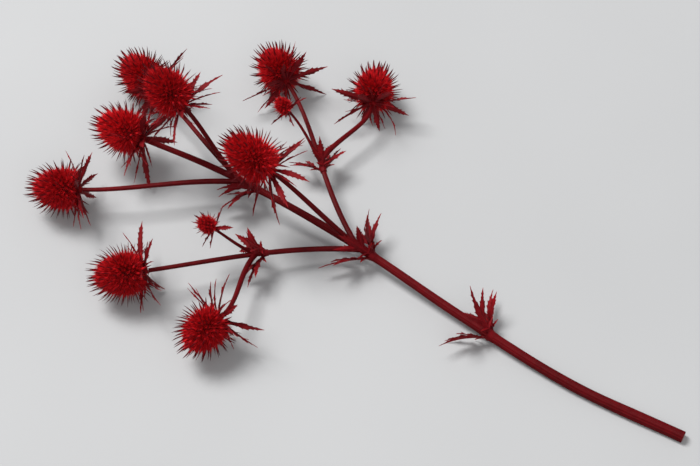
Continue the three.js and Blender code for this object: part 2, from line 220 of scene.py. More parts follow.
# Long spines stand out of a head, and between them are a crown for each floret and bristles.
# `share` is their number for each of the solid's spines, `reach` their length as a share of those,
# `rise` the place on the colour ramp that their tips have, and `taper` and `flat` their form. A
# crown leans out by `splay`, turns by up to `turn` radians, and has a pit down to its `middle`.
SPIKES = {
    "share": 1.0, "reach": 1.03, "vary": 0.1, "width": 0.0018, "sides": 6, "rings": 9, "rise": 1.0,
    "taper": 2.8, "flat": 0.6,
}
BRISTLES = {
    "share": 20.0, "reach": 0.49, "vary": 0.2, "width": 0.00058, "sides": 3, "rings": 2,
    "rise": 0.42, "taper": 2.0, "flat": 0.8,
}
CROWNS = {
    "share": 2.4, "reach": 0.45, "vary": 0.16, "width": 0.00125, "rise": 0.42, "lobes": 5,
    "splay": 0.35, "width_vary": 0.2, "turn": 6, "middle": 0.52,
}

# How deep under the core's surface they all start.
SUNK = 0.0012

# Needles leave the core this much along their own way, and bow at this share of their length.
NEEDLE = {"lean": 0.6, "bow": 0.55, "width_vary": 0.15}

# Nearly up, and along none of the spines, so that each has a way across it.
NEAR_UP = [0.05, 0.02, 1]

# Rings of a crown's loft: for its lobes and for the valleys between them, how far along and out.
CROWN_ROWS = [
    ((0, 0.35), (0, 0.35)),
    ((0.5, 0.62), (0.5, 0.62)),
    ((0.74, 0.9), (0.6, 0.72)),
    ((1.0, 1.3), (0.6, 0.45)),
]

# Length and width are shares of the broad bracts', and `back` is how much closer to the head's
# axis they stand, in degrees.
THIN_BRACTS = {
    "count": 12, "length": 0.8, "vary": 0.3, "width": 0.34, "twist": 0.2, "back": 14, "wander": 20,
    "curl": 60,
}

# Points under this height are pressed up, so that what touches the table lies along it.
PRESS = 0.0015

# Edges sharper than this, in degrees, aren't smoothed.
SHARP = 65

# ---------------------------------------------------------------- chance

# Where each kind of chance number starts. Those of the first two rows are the solids' own.
DRAW = {
    "leaf_turn": 0, "leaf_length": 40,
    "bract_turn": 70, "bract_spread": 80, "bract_length": 90, "bract_roll": 100,
    "blade_twist": 5, "blade_stray": 6, "blade_curl": 7, "left_teeth": 220, "right_teeth": 230,
    "thin_turn": 170, "thin_spread": 300, "thin_length": 320, "thin_roll": 340, "thin_bend": 360,
}
HASH = {"seed": 12.9898, "index": 78.233, "stretch": 43758.5453}

# The first seed of each kind of piece. A head's other growths add a step to its seed, and a side
# lobe adds its step for each radian of its turn.
SEEDS = {"main_stem": 1, "shoots": 2, "whorls": 20, "heads": 1}
SEED_STEPS = {"thin_bracts": 20, "crowns": 100, "bristles": 200, "lobe": 0.37}

# ---------------------------------------------------------------- colours and finishes

# Colours from the root of a part to its tip.
# On the heads the colour darkens towards the roots as painted shade deep between the spines. It is
# brightest where the spines leave the mass, and darkens again at their tips to the spines' own dark
# dye.
HEAD_STOPS = [
    (0.0, (0.17, 0.0026, 0.0046)),
    (0.2, (0.42, 0.007, 0.0105)),
    (0.36, (0.6, 0.0115, 0.016)),
    (0.43, (0.6, 0.0115, 0.016)),
    (0.51, (0.36, 0.008, 0.012)),
    (0.63, (0.14, 0.0044, 0.0072)),
    (1.0, (0.05, 0.0024, 0.004)),
]
BRACT_STOPS = [
    (0.0, (0.09, 0.0022, 0.004)),
    (0.5, (0.145, 0.0055, 0.008)),
    (1.0, (0.18, 0.008, 0.0105)),
]
LEAF_STOPS = [
    (0.0, (0.1, 0.002, 0.004)),
    (0.6, (0.16, 0.0035, 0.006)),
    (1.0, (0.2, 0.005, 0.008)),
]
STEM_STOPS = [(0.0, (0.085, 0.0015, 0.003)), (1.0, (0.11, 0.0018, 0.0035))]

# Dyed skins: how fine the streaks are across the grain, along it and from part to part, the lowest
# and highest roughness, and how much the colour is darkened and lightened.
SKINS = {
    "dyed_and_shaded_spines": {
        "stops": HEAD_STOPS, "grain": (4000, 260, 40), "rough": (0.42, 0.6), "spread": 0.35,
        "veined": False,
    },
    "dyed_leaf": {
        "stops": LEAF_STOPS, "grain": (2600, 420, 10), "rough": (0.38, 0.58), "spread": 0.3,
        "veined": True,
    },
    "dyed_bract": {
        "stops": BRACT_STOPS, "grain": (2600, 420, 10), "rough": (0.4, 0.6), "spread": 0.3,
        "veined": True,
    },
    "dyed_stem": {
        "stops": STEM_STOPS, "grain": (3000, 90, 10), "rough": (0.35, 0.55), "spread": 0.35,
        "veined": False,
    },
}
GLOSS = 0.07

# Inputs of the noise and bump nodes, and the ranges that they are read over.
STREAKS = {"Scale": 1.0, "Detail": 4.0, "Roughness": 0.6}
MOTTLE = {"Scale": 160.0, "Detail": 3.0, "Roughness": 0.55}
PATCHES = {"Scale": 11.0, "Detail": 1.0}
SHADE_RANGE = (1.1, 1.9)
ROUGH_RANGE = (0.3, 0.7)
RELIEF = {"Strength": 0.5, "Distance": 0.0003}

# Veins: the gap between side veins and their slant, how much light they add, the half widths that
# the midrib fades over, and how narrow and how strong the side veins are.
VEINS = {
    "gap": 0.0024, "slant": 1.6, "light": 0.55, "midrib": (0.0001, 0.0004), "narrow": 0.7,
    "side": 0.6,
}

PITH_STOPS = [
    (0.0, (0.5, 0.27, 0.22)),
    (0.7, (0.46, 0.2, 0.17)),
    (0.85, (0.2, 0.03, 0.03)),
    (1.0, (0.12, 0.008, 0.012)),
]
PITH = {
    "pores": 3500.0, "pore_range": (0.0, 0.6), "shade": (1.1, 0.7), "roughness": 0.85,
    "relief": {"Strength": 0.6, "Distance": 0.0002},
}
FLOOR = {
    "reach": 6, "cloud": {"Scale": 3.0, "Detail": 2.0}, "roughness": 0.8,
    "stops": [(0.3, (0.43, 0.431, 0.434)), (0.7, (0.455, 0.456, 0.459))],
}

# ---------------------------------------------------------------- the studio's sizes

# The picture's width and height in pixels.
FRAME_SIZE = (700, 466)

# Angles are in degrees, lens and sensor in millimetres. The distance is where the fit starts.
CAMERA = {
    "azimuth": 24, "elevation": 54, "lens": 90, "sensor": 36, "margin": 1.05, "distance": 2.0,
    "rounds": 30,
}

# The picture holds this much round the middle of each head, and less round a bud's.
HEAD_REACH = 0.034

# Lamps: name, place, diameter and watts.
LAMPS = [
    ("key", (-2.7, 0.45, 4.5), 2.4, 310),
    ("fill", (2.1, -2.7, 3.6), 3.6, 54),
]
SKY = {"Color": (0.96, 0.98, 1, 1), "Strength": 0.4}


# ---------------------------------------------------------------- numbers

def unit(v):
    return v / np.linalg.norm(v, axis=-1, keepdims=True)


def stacked(*parts):
    """Arrays side by side in a new last axis, each stretched to the shape that they share."""
    return np.stack(np.broadcast_arrays(*parts), axis=-1)


def circle(sides):
    return np.linspace(0, 2 * math.pi, sides, endpoint=False)


def spokes(up, side, turn):
    """Ways square to an axis, each turned from up towards side."""
    return up * np.cos(turn)[..., None] + side * np.sin(turn)[..., None]


def chance(seed, kind, index=0):
    """A repeatable number from -1 to 1, as the solids draw it."""
    wave = math.sin(seed * HASH["seed"] + (DRAW[kind] + index) * HASH["index"]) * HASH["stretch"]
    return 2 * (wave - math.floor(wave)) - 1


# ---------------------------------------------------------------- curves and placing

class Path:
    """A finely sampled curve, read by share of its length."""

    NEAR = 0.002

    def __init__(self, points):
        self.points = np.array(points, float)
        steps = np.linalg.norm(np.diff(self.points, axis=0), axis=1)
        self.along = np.concatenate([[0], np.cumsum(steps)])
        self.length = self.along[-1]

    def at(self, share):
        where = np.asarray(share) * self.length
        return stacked(*(np.interp(where, self.along, column) for column in self.points.T))

    def way(self, share):
        low = np.clip(np.asarray(share) - self.NEAR, 0, 1 - 2 * self.NEAR)
        return unit(self.at(low + 2 * self.NEAR) - self.at(low))


def curve_through(points, steps=80):
    """The centripetal curve through points."""
    p = np.array(points, float)
    p = np.vstack([2 * p[0] - p[1], p, 2 * p[-1] - p[-2]])
    t = np.linspace(0, 1, steps, endpoint=False)[:, None]
    stretches = []
    for a, b, c, d in zip(p, p[1:], p[2:], p[3:]):
        ab, bc, cd = (math.sqrt(np.linalg.norm(step)) for step in (b - a, c - b, d - c))
        leave = ((b - a) / ab - (c - a) / (ab + bc) + (c - b) / bc) * bc
        reach = ((c - b) / bc - (d - b) / (bc + cd) + (d - c) / cd) * bc
        stretch = (2 * t**3 - 3 * t**2 + 1) * b + (t**3 - 2 * t**2 + t) * leave
        stretches.append(stretch + (3 * t**2 - 2 * t**3) * c + (t**3 - t**2) * reach)
    return Path(np.vstack(stretches + [p[-2:-1]]))


def curve_between(a, b, c, d, steps=200):
    """The cubic curve from a to d with handles b and c."""
    t = np.linspace(0, 1, steps)[:, None]
    return Path((1 - t)**3 * a + 3 * (1 - t)**2 * t * b + 3 * (1 - t) * t**2 * c + t**3 * d)


def heading(yaw, pitch):
    a, b = math.radians(yaw), math.radians(pitch)
    return np.array([-math.cos(a) * math.cos(b), math.sin(a) * math.cos(b), math.sin(b)])


def beside(way):
    """The level way square to `way`, and the one square to both that is nearest to up."""
    side = unit(np.cross(way, [0, 0, 1]))
    return side, np.cross(side, way)


def placed(points, forward, up, origin):
    """Points turned so that +X is forward and +Z is as near up as it can be, then moved."""
    x = unit(forward)
    y = unit(np.cross(up, x))
    z = np.cross(x, y)
    return points @ np.stack([x, y, z]) + origin


def rolled(points, angle):
    """Points turned about +X."""
    x, y, z = points.T
    c, s = math.cos(angle), math.sin(angle)
    return stacked(x, c * y - s * z, s * y + c * z)


def lean(axis, out, angle):
    """`angle` degrees from axis towards out, and the square to it that faces back to the axis."""
    a = math.radians(angle)
    return axis * math.cos(a) + out * math.sin(a), axis * math.sin(a) - out * math.cos(a)


# ---------------------------------------------------------------- how the plant grows

def is_bud(name):
    return name.startswith("bud")


def scale_of(name):
    return BUD_SCALE if is_bud(name) else 1


def node_of(name):
    """The solid that a shoot's head stands for."""
    return name if is_bud(name) else "head_" + name


def tapered(radii, share):
    foot, end = radii
    return foot + (end - foot) * share


def grow_shoots():
    """Every shoot's path, radii, and its head's place and way, by name."""
    main = curve_through(np.array(MAIN_STEM) - PLAN_CENTRE)
    facing = main.way(1)
    base = main.at(1) + facing * (NECK_LENGTH + SEAT_GAP)
    shoots = {"main": {"path": main, "radii": MAIN_RADII, "facing": facing, "base": base}}
    for name, parent, at, base, yaw, pitch in SHOOTS:
        base = np.array(base) - PLAN_CENTRE
        facing = heading(yaw, pitch)
        start = shoots[parent]["path"].at(at)
        end = base - facing * (NECK_LENGTH * scale_of(name) + SEAT_GAP)
        reach = np.linalg.norm(end - start)
        leaving = unit(unit(end - start) + SHOOT_LEAN * shoots[parent]["path"].way(at))
        near, far = SHOOT_HANDLES
        path = curve_between(start, start + leaving * reach * near, end - facing * reach * far, end)
        radii = BUD_STALK_RADII if is_bud(name) else STALK_RADII
        shoots[name] = {"path": path, "radii": radii, "facing": facing, "base": base}
    return shoots


# ---------------------------------------------------------------- meshes

def add_object(name, data):
    thing = bpy.data.objects.new(name, data)
    bpy.context.scene.collection.objects.link(thing)
    return thing


class Shape:
    """The points and faces of one piece, with two values at each point: `rise`, from 0 at a
    part's root to 1 at its tip, and `grain`, its place across and along the part."""

    def __init__(self):
        self.points = []
        self.rise = []
        self.grain = []
        self.faces = []
        self.count = 0

    def add(self, points, rise, grain, faces):
        self.points.append(points.reshape(-1, 3))
        self.rise.append(np.ravel(rise))
        self.grain.append(grain.reshape(-1, 3))
        for group in faces:
            self.faces += (group + self.count).tolist()
        self.count += len(self.points[-1])

    def add_rings(self, points, rise, grain):
        """One loft with flat ends, its points by ring and side."""
        faces = loft_faces(*points.shape[:2], pointed=False)
        self.add(points, np.broadcast_to(rise, points.shape[:2]), grain, faces)

    def build(self, name, material, node):
        points = np.concatenate(self.points)
        low = points[:, 2] < PRESS
        points[low, 2] = PRESS * np.exp(points[low, 2] / PRESS - 1)
        mesh = bpy.data.meshes.new(name)
        mesh.from_pydata(points.tolist(), [], self.faces)
        rise = mesh.attributes.new("rise", "FLOAT", "POINT")
        rise.data.foreach_set("value", np.concatenate(self.rise).astype(np.float32))
        grain = mesh.attributes.new("grain", "FLOAT_VECTOR", "POINT")
        grain.data.foreach_set("vector", np.concatenate(self.grain).astype(np.float32).ravel())
        mesh.polygons.foreach_set("use_smooth", np.ones(len(mesh.polygons), bool))
        mesh.set_sharp_from_angle(angle=math.radians(SHARP))
        mesh.materials.append(material)
        piece = add_object(name, mesh)
        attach(piece, "root")
        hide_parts(node)


def loft_faces(rings, sides, copies=1, pointed=True):
    """Faces of `copies` closed lofts, each with a flat first end and its last end pointed or
    flat. A pointed loft has one more point, its tip."""
    ring, side = np.meshgrid(np.arange(rings - 1), np.arange(sides), indexing="ij")
    a = ring * sides + side
    b = ring * sides + (side + 1) % sides
    quads = np.stack([a, b, b + sides, a + sides], axis=-1).reshape(-1, 4)
    around = np.arange(sides)
    last = (rings - 1) * sides
    fan = np.arange(1, sides - 1)
    ends = [stacked(0, fan + 1, fan)]
    if pointed:
        ends.append(stacked(last + around, last + (around + 1) % sides, rings * sides))
    else:
        ends.append(stacked(last, last + fan, last + fan + 1))
    size = rings * sides + (1 if pointed else 0)
    shift = (np.arange(copies) * size)[:, None, None]
    return [(quads + shift).reshape(-1, 4), (np.concatenate(ends) + shift).reshape(-1, 3)]


# ---------------------------------------------------------------- the stem

def ribbed_tube(shape, path, radius_at, tube, seed):
    """A tube along the path with fine ribs that run its whole length."""
    share = np.linspace(0, 1, tube["rings"])
    turn = circle(tube["sides"])
    centre, way = path.at(share), path.way(share)
    side, up = beside(way)
    along = share * path.length
    ridge = RIB_DEPTH * np.cos(tube["ribs"] * turn)[None]
    swell = LUMPS["size"] * np.sin(along * LUMPS["along"] + seed)[:, None]
    lump = swell * np.cos(turn * LUMPS["round"] + along[:, None] * LUMPS["twist"])
    radius = radius_at(share)[:, None] * (1 + ridge + lump)
    spoke = spokes(up[:, None], side[:, None], turn)
    points = centre[:, None] + spoke * radius[..., None]
    grain = stacked(turn[None] * radius, along[:, None], seed)
    shape.add_rings(points[:, ::-1], share[:, None], grain[:, ::-1])


def swollen(shoot, name):
    """A radius that tapers along the shoot and swells a little at its nodes."""
    nodes = [at for _, bearer, at, *_ in WHORLS if bearer == name]

    def radius_at(share):
        steps = [(share - node) / NODE_SWELL["reach"] for node in nodes]
        swell = sum(NODE_SWELL["size"] * np.exp(-(step**2)) for step in steps)
        return tapered(shoot["radii"], share) * (1 + swell)

    return radius_at


def make_cut_face(path, material):
    """The pale pith at the cut end, dished a little, on the end of the tube."""
    turn = circle(CUT_FACE["sides"])
    way = -path.way(0)
    side, up = beside(way)
    spoke = spokes(up, side, turn)
    size, lift = np.array(CUT_ROWS).T
    lift = lift * CUT_FACE["dish"]
    radius = MAIN_RADII[0] * CUT_FACE["share"] * size
    points = path.at(0) + spoke[None] * radius[:, None, None] + way * lift[:, None, None]
    flat = stacked(radius[:, None] * np.cos(turn), radius[:, None] * np.sin(turn), 0.0)
    shape = Shape()
    shape.add_rings(points[:, ::-1], size[:, None], flat[:, ::-1])
    shape.build("cut_face", material, "stem")


def make_stem(shoots, skin, pith):
    shape = Shape()
    main = shoots["main"]
    ribbed_tube(shape, main["path"], swollen(main, "main"), TUBES["main"], SEEDS["main_stem"])
    for seed, (name, *_) in enumerate(SHOOTS, SEEDS["shoots"]):
        shoot = shoots[name]
        ribbed_tube(shape, shoot["path"], swollen(shoot, name), TUBES["side"], seed)
    shape.build("stem_skin", skin, "stem")
    make_cut_face(main["path"], pith)


# ---------------------------------------------------------------- blades

def blade_stations(edge, seed):
    """Places along a blade, with the half width of each hand there, and how far that edge is
    thrown forward."""
    places, widths = zip(*edge["waist"])
    stations = []
    for i, (place, reach) in enumerate(edge["teeth"]):
        neck = np.interp(place, places, widths)
        draws = [chance(seed, hand, i) for hand in ("left_teeth", "right_teeth")]
        sizes = [1 - TOOTH["vary"] * abs(draw) for draw in draws]
        for step, part, throw in TOOTH_ROWS:
            halves = [neck + (reach - neck) * part * size for size in sizes]
            throws = [throw * TOOTH["throw"] * size for size in sizes]
            stations.append((place + step, *halves, *throws))
    for place in np.linspace(0, BLADE_STEPS["last"], BLADE_STEPS["count"]):
        if all(abs(place - other[0]) > BLADE_STEPS["clear"] for other in stations):
            half = np.interp(place, places, widths)
            stations.append((place, half, half, 0, 0))
    return np.array(sorted(stations))


def blade_relief(u, across, half, width, seed):
    """How far a straight blade's points are out to the side, and how high."""
    out = np.abs(across)
    side = across * half * width
    height = BLADE["fold"] * np.abs(side) - BLADE["groove"] * (out == 0)
    wave = BLADE["wave"] * half * np.sin(u * BLADE["waves"] + seed)
    height = height + wave * across**2 * np.sign(across)
    thick = np.where(out < BLADE["rib_share"], BLADE["rib"], BLADE["skin"])
    under = np.arange(len(across)) >= len(BLADE_TOP)
    height = height - thick * (1 - out**3) * (BLADE["thinning"] - u) * under
    twist = BLADE["twist"] * chance(seed, "blade_twist") * u
    return side - height * twist, height + side * twist


def add_blade(shape, length, width, bend, edge, place, seed):
    """A toothed, keeled blade. `place` carries it from +X, with its upper face at +Z."""
    stations = blade_stations(edge, seed).T
    u, left, right, left_throw, right_throw = (column[:, None] for column in stations)
    across = np.array(BLADE_TOP + BLADE_UNDERSIDE)
    half = np.where(across < 0, left, right)
    throw = np.where(across < 0, left_throw, right_throw)
    side, height = blade_relief(u, across, half, width, seed)
    stray = BLADE["stray"] * chance(seed, "blade_stray") * length
    turn = math.radians(bend + BLADE["curl"] * chance(seed, "blade_curl"))
    angle = turn * (u + throw * across**2)
    x = length * np.sin(angle) / turn - height * np.sin(angle)
    z = length * (1 - np.cos(angle)) / turn + height * np.cos(angle)
    points = stacked(x, side + stray * u**2, z).reshape(-1, 3)
    tip = [length * math.sin(turn) / turn, stray, length * (1 - math.cos(turn)) / turn]
    points = place(np.vstack([points, tip]))
    rise = np.append(np.broadcast_to(u, x.shape).ravel(), 1)
    grain = stacked(across * half * width, u * length, float(seed)).reshape(-1, 3)
    grain = np.vstack([grain, [0, length, seed]])
    shape.add(points, rise, grain, loft_faces(len(u), len(across)))


# ---------------------------------------------------------------- leaves

def add_leaf(shape, length, place, seed):
    """A leaf: a middle lobe, a side lobe on each hand, and a small ear below each of those."""
    add_blade(shape, length, LEAF["width"], LEAF["bend"], LEAF_EDGE, place, seed)
    for lobe in LOBES:
        for turn in (lobe["turn"], -lobe["turn"]):
            ahead = np.array([math.cos(turn), math.sin(turn), 0])
            root = np.array([length * lobe["root"], 0, -LOBE_DROP])

            def place_lobe(points, ahead=ahead, root=root):
                return place(placed(points, ahead, np.array([0, 0, 1]), root))

            size = length * lobe["length"], LEAF["width"] * lobe["width"], LEAF["bend"]
            lobe_seed = seed + SEED_STEPS["lobe"] * turn
            add_blade(shape, *size, lobe["edge"], place_lobe, lobe_seed)


def add_sheath(shape, centre, way, up, radius, seed):
    """The clasping foot of a ring of leaves: a collar that flares towards the leaves."""
    outer = radius + SHEATH["wall"]
    share, swell = np.array(SHEATH_ROWS).T
    turn = circle(SHEATH["sides"])
    spoke = spokes(up, np.cross(way, up), turn)
    crease = 1 + SHEATH["crease"] * np.cos(SHEATH["creases"] * turn + seed)
    along = (share - 0.5) * SHEATH["length"]
    size = outer * swell[:, None] * crease[None]
    points = centre + way * along[:, None, None] + spoke[None] * size[..., None]
    grain = stacked(turn[None] * outer, along[:, None], float(seed))
    shape.add_rings(points[:, ::-1], SHEATH["rise"] * share[:, None], grain[:, ::-1])


def make_whorl(row, shoots, seed, material):
    name, shoot, at, leaves, length, fan = row
    path = shoots[shoot]["path"]
    way = path.way(at)
    centre = path.at(at) - way * SHEATH["length"] / 2
    up = unit(np.array([0, 0, 1]) - way * way[2])
    side = np.cross(way, up)
    radius = tapered(shoots[shoot]["radii"], at)
    shape = Shape()
    add_sheath(shape, centre, way, up, radius, seed)
    for i in range(leaves):
        share = i / (leaves - 1) - 0.5
        turn = math.radians(fan * share + LEAF["wander"] * chance(seed, "leaf_turn", i))
        out = up * math.cos(turn) + side * math.sin(turn)
        forward, face = lean(way, out, LEAF["spread"])
        root = centre + out * radius * LEAF["root"]
        roll = math.radians(LEAF["roll"]) * math.sin(turn)

        def place(points, forward=forward, face=face, root=root, roll=roll):
            return placed(rolled(points, roll), forward, face, root)

        size = length * (1 + LEAF["vary"] * chance(seed, "leaf_length", i))
        add_leaf(shape, size, place, seed + i)
    shape.build(name + "_fine", material, name)


# ---------------------------------------------------------------- heads

def egg(length, radius, theta, turn):
    """A point on the core: theta runs from 0 at its base to pi at its tip."""
    r = radius * np.sin(theta) ** EGG["blunt"] * (1 + EGG["taper"] * np.cos(theta))
    z = length * (1 - np.cos(theta)) / 2
    return stacked(r * np.cos(turn), r * np.sin(turn), z)


def spiral(length, radius, count):
    """Theta and turn of points spaced evenly over the core, in a seed head's spiral."""
    theta = np.linspace(0, math.pi, SPIRAL["slices"])
    line = egg(length, radius, theta, 0)
    step = np.linalg.norm(np.diff(line, axis=0), axis=1)
    area = np.concatenate([[0], np.cumsum(step * (line[1:, 0] + line[:-1, 0]))])
    index = np.arange(count)
    even = np.interp((index + 0.5) / count * area[-1], area, theta)
    return even, index * math.pi * SPIRAL["step"]


def growths(core, coat, scale, draw):
    """Where one coat of growths leaves the core, the core's outward way there, the way that each
    one points, and its length."""
    length, radius, count = core
    theta, turn = spiral(length, radius, int(count * coat["share"]))
    root = egg(length, radius, theta, turn)
    up_core = egg(length, radius, theta + SPIRAL["nudge"], turn) - root
    round_core = stacked(-np.sin(turn), np.cos(turn), 0)
    outward = unit(np.cross(round_core, up_core))
    ray = unit(root - [0, 0, length * SPINE["focus"]])
    kept = ray[:, 2] > -SPINE["bare"]
    ray = unit(ray + SPINE["wander"] * draw.uniform(-1, 1, ray.shape))
    rise = root[:, 2] / length
    long = (SPINE["base"] + (SPINE["tip"] - SPINE["base"]) * rise) * coat["reach"] * scale
    long = long * (1 + coat["vary"] * draw.uniform(-1, 1, len(long)))
    return root[kept], outward[kept], ray[kept], long[kept]


def add_copies(shape, points, tips, rise, tip_rise, side, long, tint, sides):
    """Many pointed lofts of one build: points are by loft, ring and side."""
    count, rings = points.shape[:2]
    flat = np.concatenate([points.reshape(count, -1, 3), tips[:, None]], axis=1)
    rise = np.broadcast_to(rise, points.shape[:3]).reshape(count, -1)
    rise = np.concatenate([rise, np.full((count, 1), tip_rise)], axis=1)
    side = np.broadcast_to(side, points.shape[:3]).reshape(count, -1)
    side = np.concatenate([side, np.zeros((count, 1))], axis=1)
    grain = stacked(side, rise * long[:, None], tint[:, None])
    shape.add(flat, rise, grain, loft_faces(rings, sides, count))


def add_needles(shape, core, coat, scale, seed):
    """One coat of spines or bristles, each a flattened needle that bows out from the core."""
    draw = np.random.RandomState(seed)
    root, outward, ray, long = growths(core, coat, scale, draw)
    tip = root + ray * long[:, None]
    root = root - outward * SUNK * scale
    bow = root + unit(outward + NEEDLE["lean"] * ray) * (NEEDLE["bow"] * long)[:, None]
    t = (np.arange(coat["rings"]) / coat["rings"])[None, :, None]
    middle = (1 - t)**2 * root[:, None] + 2 * t * (1 - t) * bow[:, None] + t**2 * tip[:, None]
    way = unit((1 - t) * (bow - root)[:, None] + t * (tip - bow)[:, None])
    across = unit(np.cross(way, NEAR_UP))
    over = np.cross(across, way)
    angle = circle(coat["sides"])
    vary = 1 + NEEDLE["width_vary"] * draw.uniform(-1, 1, len(long))
    width = coat["width"] * scale**0.5 * vary
    half = width[:, None] * 0.5 * (1 - t[..., 0]**coat["taper"])
    ring = across[:, :, None] * (half[..., None] * np.cos(angle))[..., None]
    ring = ring + over[:, :, None] * (half[..., None] * np.sin(angle) * coat["flat"])[..., None]
    side = half[..., None] * angle
    tint = draw.uniform(0, 1, len(long))
    rise = t * coat["rise"]
    points = middle[:, :, None] + ring
    add_copies(shape, points, tip, rise, coat["rise"], side, long, tint, coat["sides"])


def add_crowns(shape, core, scale, seed):
    """The florets: each a small tube that opens in a ring of pointed lobes."""
    draw = np.random.RandomState(seed)
    root, outward, ray, long = growths(core, CROWNS, scale, draw)
    root = root - outward * SUNK * scale
    ray = unit(ray + CROWNS["splay"] * outward)
    across = unit(np.cross(ray, NEAR_UP))
    over = np.cross(across, ray)
    sides = 2 * CROWNS["lobes"]
    angle = circle(sides) + draw.uniform(0, CROWNS["turn"], (len(long), 1))
    spoke = spokes(across[:, None], over[:, None], angle)
    rows = np.array(CROWN_ROWS)[:, np.arange(sides) % 2]
    along, out = rows[None, ..., 0, None], rows[None, ..., 1, None]
    vary = 1 + CROWNS["width_vary"] * draw.uniform(-1, 1, len(long))
    width = CROWNS["width"] * scale**0.5 * vary
    stalk = (ray * long[:, None])[:, None, None]
    points = root[:, None, None] + stalk * along
    points = points + spoke[:, None] * (width[:, None, None, None] * out)
    tip = root + ray * (long * CROWNS["middle"])[:, None]
    side = width[:, None, None] * (angle % CROWNS["turn"])[:, None]
    tint = draw.uniform(0, 1, len(long))
    rise = CROWNS["rise"] * along[..., 0]
    tip_rise = CROWNS["rise"] * CROWNS["middle"]
    add_copies(shape, points, tip, rise, tip_rise, side, long, tint, sides)


def add_core(shape, core, scale):
    """The core under the spines, with the neck that meets the stalk."""
    length, radius, _ = core
    theta = np.linspace(CORE["base_gap"], math.pi - CORE["tip_gap"], CORE["rings"])
    turn = circle(CORE["sides"])
    body = egg(length, radius, theta[:, None], turn[None])
    share, size = (column[:, None] * scale for column in np.array(NECK_ROWS).T)
    neck = stacked(np.cos(turn) * size, np.sin(turn) * size, NECK_LENGTH * share)
    points = np.concatenate([neck, body])
    # The core takes the ramp's darkest root colour, painted shade under the spines.
    shape.add_rings(points, 0, points)


def make_florets(name, shoot, turn, seed, material):
    """A head's core and neck, with all that grows on it."""
    core = HEADS[name]
    scale = scale_of(name)
    shape = Shape()
    add_core(shape, core, scale)
    add_needles(shape, core, SPIKES, scale, seed)
    add_needles(shape, core, BRISTLES, scale, seed + SEED_STEPS["bristles"])
    add_crowns(shape, core, scale, seed + SEED_STEPS["crowns"])
    shape.points = [points @ turn.T + shoot["base"] for points in shape.points]
    shape.build(node_of(name) + "_florets", material, node_of(name))


def broad_bracts(name, seed):
    """Each broad bract's angle round the head, spread, roll, bend, length, width and seed."""
    count = BRACTS["bud_count"] if is_bud(name) else BRACTS["count"]
    width = BRACTS["width"] * (BRACTS["bud_width"] if is_bud(name) else 1)
    for i in range(count):
        angle = 2 * math.pi * (i + BRACTS["twist"] * chance(seed, "bract_turn", i)) / count
        spread = BRACTS["spread"] + BRACTS["wander"] * chance(seed, "bract_spread", i)
        roll = BRACTS["roll"] * chance(seed, "bract_roll", i)
        vary = 1 + BRACTS["vary"] * chance(seed, "bract_length", i)
        length = BRACTS["length"] * scale_of(name) * vary
        yield angle, spread, roll, BRACTS["bend"], length, width, seed + i


def thin_bracts(seed):
    """The same for the thin bracts, which a bud doesn't have."""
    count = BRACTS["count"]
    width = BRACTS["width"] * THIN_BRACTS["width"]
    for i in range(THIN_BRACTS["count"]):
        twist = THIN_BRACTS["twist"] * chance(seed, "thin_turn", i)
        angle = 2 * math.pi * ((i + 0.5) * count / THIN_BRACTS["count"] + twist) / count
        wander = THIN_BRACTS["wander"] * chance(seed, "thin_spread", i)
        spread = BRACTS["spread"] - THIN_BRACTS["back"] + wander
        roll = BRACTS["roll"] * chance(seed, "thin_roll", i)
        bend = BRACTS["bend"] + THIN_BRACTS["curl"] * chance(seed, "thin_bend", i)
        vary = 1 + THIN_BRACTS["vary"] * chance(seed, "thin_length", i)
        length = BRACTS["length"] * THIN_BRACTS["length"] * vary
        yield angle, spread, roll, bend, length, width, seed + SEED_STEPS["thin_bracts"] + i


def make_bracts(name, shoot, turn, seed, material):
    """The ring of long toothed bracts, with thin ones between them. One that points down ends
    where it meets the table."""
    axis = np.array([0, 0, 1.0])
    shape = Shape()
    rows = list(broad_bracts(name, seed))
    if not is_bud(name):
        rows += thin_bracts(seed)
    for angle, spread, roll, bend, length, width, bract_seed in rows:
        out = np.array([math.cos(angle), math.sin(angle), 0])
        forward, face = (turn @ way for way in lean(axis, out, spread))
        foot = (out * BRACTS["root"] + axis * BRACTS["lift"]) * scale_of(name)
        root = turn @ foot + shoot["base"]
        if forward[2] < 0:
            length = min(length, -root[2] / forward[2])

        def place(points, roll=roll, forward=forward, face=face, root=root):
            return placed(rolled(points, math.radians(roll)), forward, face, root)

        add_blade(shape, length, width, bend, BRACT_EDGE, place, bract_seed)
    shape.build(node_of(name) + "_bracts", material, node_of(name))


def make_head(name, shoot, seed, spine_skin, bract_skin):
    turn = Vector((0, 0, 1)).rotation_difference(Vector(shoot["facing"])).to_matrix()
    make_florets(name, shoot, np.array(turn), seed, spine_skin)
    make_bracts(name, shoot, np.array(turn), seed, bract_skin)


# ---------------------------------------------------------------- materials

